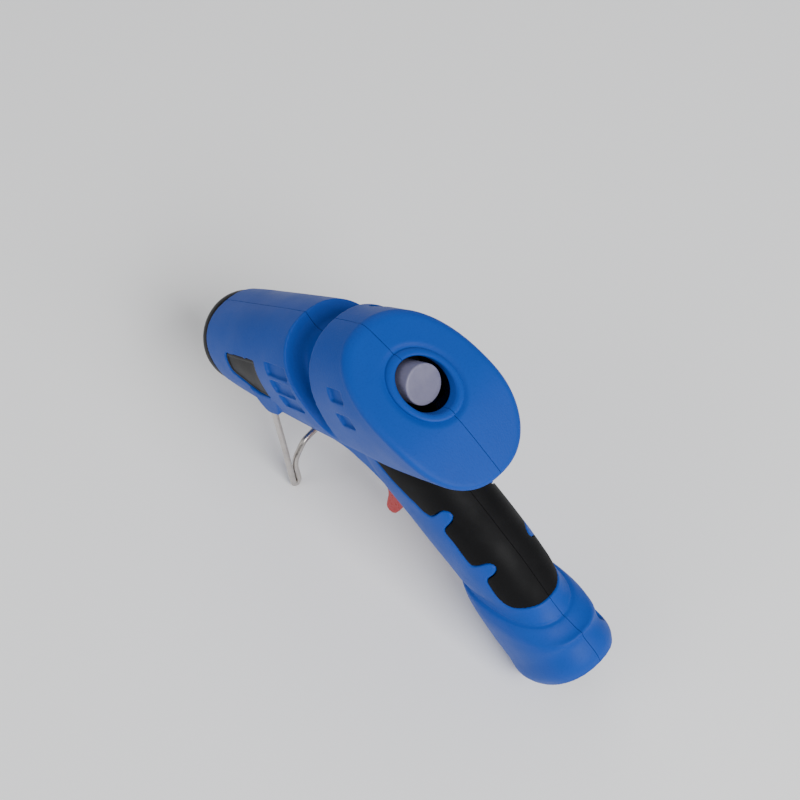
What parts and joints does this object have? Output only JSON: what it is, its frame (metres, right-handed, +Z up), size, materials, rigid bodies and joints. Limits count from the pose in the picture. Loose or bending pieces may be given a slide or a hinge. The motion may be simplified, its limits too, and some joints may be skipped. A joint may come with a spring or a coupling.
{
  "type": "hot glue gun",
  "caption": "Pistol-shaped hot-melt glue gun with a waisted barrel, soft grip, swinging trigger, glue stick and folding wire stand.",
  "frame": {"origin": "middle of the gun's box, on the bench that it stands on", "axes": "+X the way the nose points along the bench, +Y the gun's left side, +Z up; the glue stick's axis dips 37.7 degrees nose down because the gun rests on its wire stand and the toe of its handle"},
  "size_m": [0.159, 0.037, 0.1009],
  "materials": {
    "blue_shell": "fine spark-eroded texture, satin",
    "soft_grip": "soft-touch, matt",
    "black_plastic": "satin",
    "red_plastic": "glossy moulded",
    "label_foil": "silver plate, blank",
    "stand_wire": "drawn, nickel-plated",
    "bright_steel": "zinc-plated",
    "brass": "turned",
    "cast_aluminium": "die-cast",
    "silicone": "matt",
    "ceramic": "unglazed",
    "glue": "translucent, waxy",
    "lead_sleeving": "woven glass-fibre sleeving"
  },
  "bodies": {
    "gun": {"housing_left": "blue_shell", "housing_right": "blue_shell", "grip_left": "soft_grip", "grip_right": "soft_grip", "badge_left": "black_plastic", "badge_right": "black_plastic", "rating_plate": "label_foil", "nose_collar": "black_plastic", "heating_chamber": "cast_aluminium", "heater_element": "ceramic", "heater_clip": "bright_steel", "nozzle": "brass", "nozzle_jacket": "silicone", "inlet_sleeve": "silicone", "lever_pin": "bright_steel", "return_spring": "bright_steel", "trigger_pin": "bright_steel", "terminal_block": "ceramic", "heater_lead_left": "lead_sleeving", "heater_lead_right": "lead_sleeving", "cord_gland": "black_plastic", "housing_screw_1": "bright_steel", "housing_screw_2": "bright_steel", "housing_screw_3": "bright_steel", "housing_screw_4": "bright_steel", "housing_screw_5": "bright_steel", "housing_screw_6": "bright_steel", "housing_screw_7": "bright_steel"},
    "trigger": {"trigger": "red_plastic"},
    "lever": {"feed_lever": "black_plastic"},
    "carriage": {"feed_carriage": "black_plastic"},
    "jaw": {"clamp_jaw": "bright_steel"},
    "stick": {"glue_stick": "glue"},
    "stand": {"wire_stand": "stand_wire"}
  },
  "joints": [
    {"name": "trigger_squeeze", "type": "hinge", "parent": "gun", "child": "trigger", "pos_m": [0.01225, 0, 0.0561], "axis": [0, 1, 0], "range_deg": [0, 18], "stiffness_Nm_per_rad": 0.3, "springref_deg": -20.05},
    {"name": "lever_swing", "type": "hinge", "parent": "gun", "child": "lever", "pos_m": [-0.00565, 0, 0.07056], "axis": [0, 1, 0], "range_deg": [0, 20], "deforming": ["return_spring"]},
    {"name": "carriage_feed", "type": "slide", "parent": "gun", "child": "carriage", "axis": [0.7912, 0, -0.6115], "range_m": [0, 0.0068]},
    {"name": "jaw_tilt", "type": "hinge", "parent": "carriage", "child": "jaw", "pos_m": [0.01169, 0, 0.08939], "axis": [0, 1, 0], "range_deg": [-4, 0]},
    {"name": "stick_slide", "type": "slide", "parent": "gun", "child": "stick", "axis": [0.7912, 0, -0.6115], "range_m": [-0.07, 0.008]},
    {"name": "stand_fold", "type": "hinge", "parent": "gun", "child": "stand", "pos_m": [0.03809, 0, 0.04661], "axis": [0, 1, 0], "range_deg": [-44, 0]}
  ],
  "couplings": [
    {"joint": "lever_swing", "follows": "trigger_squeeze", "ratio": 1.1},
    {"joint": "carriage_feed", "follows": "trigger_squeeze", "m_per_rad": 0.02},
    {"joint": "jaw_tilt", "follows": "trigger_squeeze", "ratio": -0.2}
  ]
}
